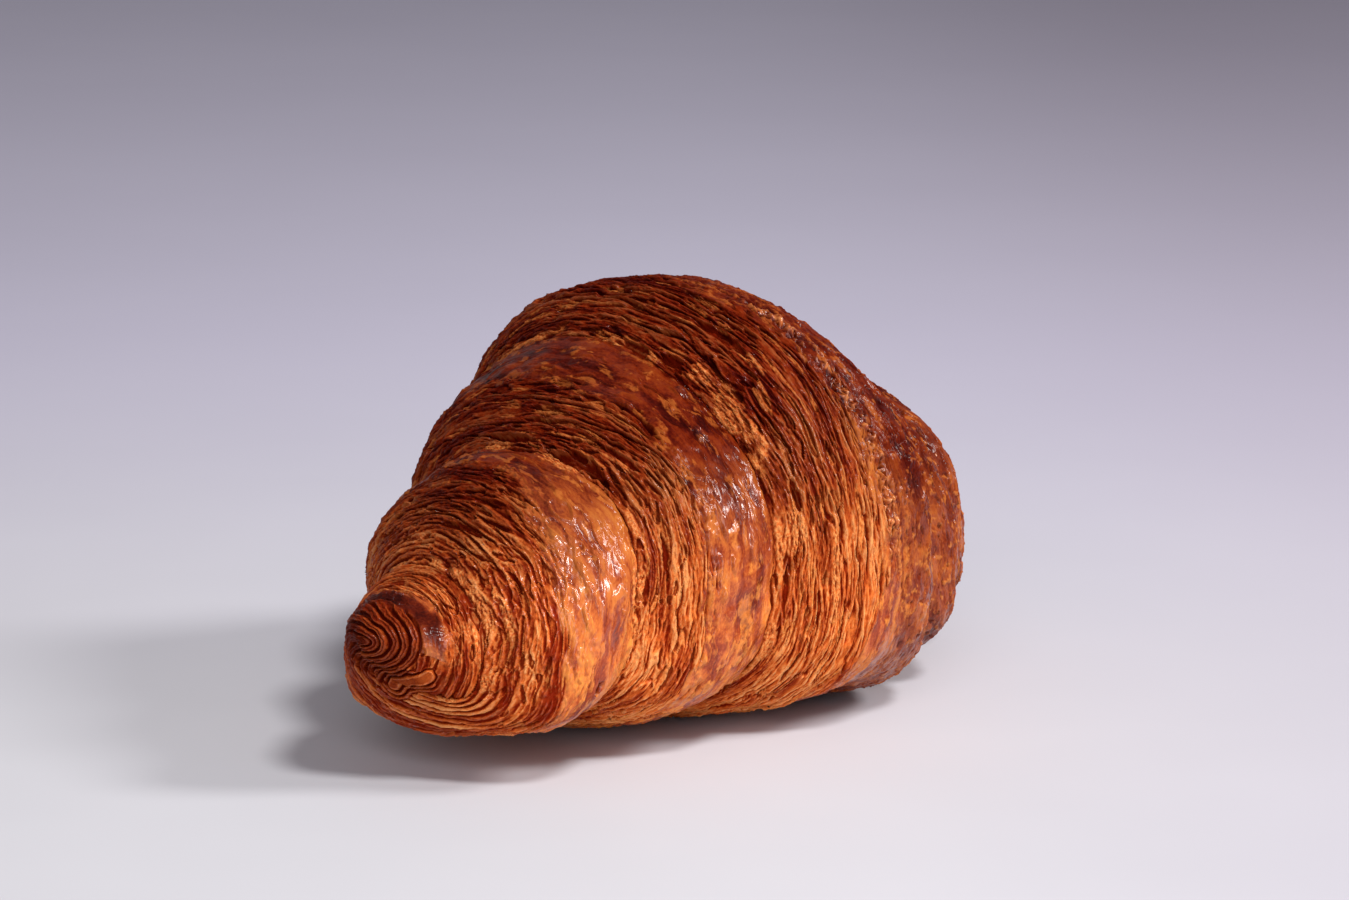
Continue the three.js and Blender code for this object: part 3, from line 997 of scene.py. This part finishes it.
def crust_material():
    """Baked crust: leaves, glazed skin and torn dough, told apart by the fields on each mesh."""
    m = Nodes("baked crust")
    place = m.add("ShaderNodeTexCoord").outputs["Object"]
    strip = m.read("strip_place", "Vector")
    names = ("skin", "dark", "tone", "crest", "gold", "crumb", "hollow", "shade", "gloss")
    skin, dark, tone, crest_line, gold, crumb, hollow, shade, gloss = map(m.read, names)

    stretched = m.stretch(strip, (1.0, 0.22, 1.0))
    hair = m.speckle(stretched, 3.4, 4.0, 0.65, 0.4)
    streak = m.speckle(stretched, 0.8, 3.0, 0.6, 0.4)
    glazed = m.stretch(strip, (1.0, 0.55, 1.0))
    mottle = m.speckle(glazed, 0.36, 5.0, 0.6, 0.6)
    fleck = m.speckle(glazed, 2.6, 3.0, 0.6, 0.3)
    cloud = m.speckle(place, 90.0, 4.0, 0.6)
    grain = m.speckle(place, 3000.0, 2.0, 0.6)

    leaf_tone = m.plus(m.times(tone, 0.65), m.times(streak, 0.4))
    # Painted highlight: leaves lighter on their crests
    leaf_tone = m.plus(leaf_tone, m.spread(crest_line, 0.1, 0.9, 0.0, 0.2))
    # Painted shade: leaves darker in their grooves
    leaf_tone = m.minus(leaf_tone, m.spread(dark, 0.1, 0.9, 0.0, 0.3))
    leaf_tone = m.minus(leaf_tone, m.spread(hair, 0.5, 0.68, 0.0, 0.16))
    leaf = m.ramp(leaf_tone, LEAF_COLOURS)
    # Painted shade: grooves mixed toward LEAF_DEEP
    leaf = m.mix(m.spread(dark, 0.4, 1.0, 0.0, 0.5), leaf, LEAF_DEEP)
    skin_tone = m.plus(m.times(mottle, 0.4), m.times(tone, 0.36))
    skin_tone = m.plus(skin_tone, m.minus(m.times(fleck, 0.34), 0.04))
    skin_colour = m.ramp(skin_tone, SKIN_COLOURS)
    # Painted shade: skin darker toward SKIN_DARK in its dents and grooves
    skin_colour = m.mix(m.spread(dark, 0.1, 0.9, 0.0, 0.4), skin_colour, SKIN_DARK)
    colour = m.mix(skin, leaf, skin_colour)
    blotch = m.times(m.minus(m.plus(mottle, fleck), 1.0), 1.2)
    gilding = m.spread(m.plus(gold, blotch), 0.15, 1.0, 0.0, 0.75)
    # Less gilding in the grooves, as part of the painted shade there
    gilding = m.times(gilding, m.spread(dark, 0.1, 0.8, 1.0, 0.2))
    colour = m.mix(gilding, colour, m.mix(m.spread(cloud, 0.4, 0.6, 0.0, 0.6), GILT, SKIN_RUST))
    light_crumb = m.mix(m.spread(fleck, 0.38, 0.62), CRUMB_TAN, CRUMB_GOLD)
    # Painted shade: light crumb darker toward LEAF_BROWN in its grooves
    light_crumb = m.mix(m.spread(dark, 0.08, 0.6, 0.0, 0.9), light_crumb, LEAF_BROWN)
    bare = m.times(crumb, m.spread(shade, 0.3, 1.0, 0.9, 0.72))
    colour = m.mix(bare, colour, light_crumb)
    deepened = m.add("ShaderNodeGamma", {0: colour, 1: BAKED_DEPTH}).outputs[0]
    baked = m.mix(1.0, deepened, BAKED_DARK, "MULTIPLY")
    sheltered = m.spread(crumb, 0.2, 1.0, 1.0, 0.52)
    sheltered = m.times(sheltered, m.spread(gilding, 0.3, 0.75, 1.0, 0.84))
    colour = m.mix(m.times(shade, sheltered), colour, baked)
    # Painted shade: torn hollows darkened toward LEAF_DEEP
    colour = m.mix(m.spread(hollow, 0.3, 0.9, 0.0, 0.6), colour, LEAF_DEEP)
    m.join(colour, "Base Color")

    rough = m.plus(m.times(skin, -0.1), m.plus(0.34, m.times(cloud, 0.16)))
    rough = m.plus(rough, m.times(dark, 0.3))
    m.join(m.plus(rough, m.times(crumb, 0.12)), "Roughness")
    leaf_glaze = m.spread(crest_line, 0.1, 0.9, 0.02, 0.6)
    leaf_glaze = m.plus(leaf_glaze, m.spread(tone, 0.5, 0.9, 0.0, 0.12))
    leaf_glaze = m.times(leaf_glaze, m.spread(fleck, 0.4, 0.62, 0.45, 1.3))
    leaf_glaze = m.times(leaf_glaze, m.spread(shade, 0.2, 1.0, 1.0, 0.4))
    leaf_glaze = m.times(leaf_glaze, m.spread(dark, 0.1, 0.7, 1.0, 0.2))
    skin_glaze = m.spread(cloud, 0.36, 0.62, 0.3, 0.95)
    skin_glaze = m.times(skin_glaze, m.spread(shade, 0.2, 1.0, 1.0, 0.35))
    glazing = m.plus(leaf_glaze, m.times(skin, m.minus(skin_glaze, leaf_glaze)))
    glazing = m.times(glazing, m.spread(crumb, 0.0, 1.0, 1.0, 0.4))
    m.join(m.math("MAXIMUM", glazing, m.times(gloss, GLOSSIEST)), "Coat Weight")
    m.shader.inputs["Coat Roughness"].default_value = GLAZE_ROUGHNESS
    m.shader.inputs["Specular IOR Level"].default_value = BARE_SHINE

    hairs = m.times(hair, m.spread(skin, 0.0, 1.0, 0.9, 0.05))
    bumps = m.plus(hairs, m.times(grain, m.spread(skin, 0.0, 1.0, 0.12, 0.05)))
    bumps = m.plus(bumps, m.times(fleck, m.spread(skin, 0.0, 1.0, 0.7, 0.06)))
    bump = m.add("ShaderNodeBump", {"Strength": 0.8, "Distance": 0.0003, "Height": bumps})
    m.join(bump.outputs[0], "Normal")
    return m.material


TABLE_COLOURS = ((0.3, rgb(198, 198, 204)), (0.7, rgb(203, 203, 209)))
# Painted light on the table: bluish bounce light away from the camera, and painted shade to its
# right
TABLE_BOUNCE_AWAY = rgb(200, 194, 222)
TABLE_SHADE_ASIDE = rgb(158, 148, 166)
AWAY = (0.825, 0.566)
ASIDE = (0.565, -0.825)


def floor_material():
    """Pale table, painted bluer away from the camera as bounce light and painted darker to its
    right as shade.
    """
    m = Nodes("pale table")
    place = m.add("ShaderNodeTexCoord").outputs["Object"]
    pale = m.ramp(m.speckle(place, 9.0, 3.0), TABLE_COLOURS)
    parts = m.add("ShaderNodeSeparateXYZ", {0: place}).outputs
    away = m.plus(m.times(parts[0], AWAY[0]), m.times(parts[1], AWAY[1]))
    aside = m.plus(m.times(parts[0], ASIDE[0]), m.times(parts[1], ASIDE[1]))
    # Painted bounce light away from the camera, then painted shade to the right
    pale = m.mix(m.spread(away, -0.05, 0.35, 0.0, 0.6), pale, TABLE_BOUNCE_AWAY)
    pale = m.mix(m.spread(aside, -0.02, 0.2, 0.0, 0.5), pale, TABLE_SHADE_ASIDE)
    m.join(pale, "Base Color")
    m.shader.inputs["Roughness"].default_value = 0.7
    m.shader.inputs["Specular IOR Level"].default_value = 0.2
    return m.material


x, angle, points, along, fields = build_crust()
middle = (points.reshape(-1, 3).max(axis=0) + points.reshape(-1, 3).min(axis=0)) / 2
cad_middle = [(low + high) / 2 / MM for low, high in zip(*cad_box)]
move = [cad_middle[0] - middle[0], cad_middle[1] - middle[1], -points[..., 2].min()]
points += np.array(move)
_, normals = slopes_of(points)
normals[0] = (-1, 0, 0)
normals[-1] = (1, 0, 0)
fields["shade"] = np.maximum(browned(x, angle, points), fields.pop("burnt"))
fields.pop("height")
shifted = fields.pop("shifted")

crust = crust_material()
for index in range(PIECES):
    name = f"crust_length_{index + 1}"
    rows = (index * ROWS_PER_PIECE, (index + 1) * ROWS_PER_PIECE)
    mesh = piece_mesh(name, rows, points, normals, fields, shifted, along)
    mesh.materials.append(crust)
    piece = bpy.data.objects.new(name, mesh)
    bpy.context.collection.objects.link(piece)
    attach(piece, "root")
    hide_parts("croissant")

bm = bmesh.new()
bmesh.ops.create_grid(bm, x_segments=8, y_segments=8, size=6.0)
floor_mesh = bpy.data.meshes.new("table")
bm.to_mesh(floor_mesh)
bm.free()
floor_mesh.materials.append(floor_material())
floor = bpy.data.objects.new("table", floor_mesh)
bpy.context.collection.objects.link(floor)

# Camera that the photo was fitted with, and its frame in photo pixels
CAMERA_PLACE = Vector((-0.60792, -0.42105, 0.19803))
CAMERA_TARGET = Vector((0.007, 0.002235, 0.028627))
CAMERA_ROLL = math.radians(0.643)
LENS = 123.8
SENSOR = 36.0
FRAME_WIDTH = 1349
FRAME_MIDDLE = (674.5, 450.0)
LENS_MIDDLE = (672.2, 515.4)

# Lights: name, place, width, power and colour
LIGHT_TARGET = Vector((0, 0, 0.03))
LIGHTS = (
    ("key", (-0.15, -0.56, 0.88), 0.22, 7.2, (1.0, 0.98, 0.96)),
    ("side", (0.36, -0.6, 0.56), 0.24, 5.0, (1.0, 0.98, 0.96)),
    ("fill", (-0.85, -0.5, 0.5), 0.8, 4.7, (1.0, 0.95, 1.0)),
)
ROOM_COLOUR = (0.98, 0.95, 0.98, 1.0)
ROOM_STRENGTH = 0.23


def aimed(place, target):
    """Placement of a camera or light that looks from its place to the target."""
    turn = (target - place).to_track_quat("-Z", "Y").to_matrix().to_4x4()
    return Matrix.Translation(place) @ turn


camera_data = bpy.data.cameras.new("camera")
camera_data.sensor_width = SENSOR
camera_data.sensor_fit = "HORIZONTAL"
camera_data.lens = LENS
camera_data.shift_x = (FRAME_MIDDLE[0] - LENS_MIDDLE[0]) / FRAME_WIDTH
camera_data.shift_y = (LENS_MIDDLE[1] - FRAME_MIDDLE[1]) / FRAME_WIDTH
camera = bpy.data.objects.new("camera", camera_data)
bpy.context.collection.objects.link(camera)
camera.matrix_world = aimed(CAMERA_PLACE, CAMERA_TARGET) @ Matrix.Rotation(CAMERA_ROLL, 4, "Z")
bpy.context.scene.camera = camera

for name, place, size, power, colour in LIGHTS:
    light = bpy.data.lights.new(name, "AREA")
    light.shape = "DISK"
    light.size = size
    light.energy = power
    light.color = colour
    holder = bpy.data.objects.new(name, light)
    bpy.context.collection.objects.link(holder)
    holder.matrix_world = aimed(Vector(place), LIGHT_TARGET)

world = bpy.data.worlds.new("soft room")
world.use_nodes = True
background = world.node_tree.nodes["Background"]
background.inputs[0].default_value = ROOM_COLOUR
background.inputs[1].default_value = ROOM_STRENGTH
bpy.context.scene.world = world
bpy.context.scene.view_settings.view_transform = "Standard"
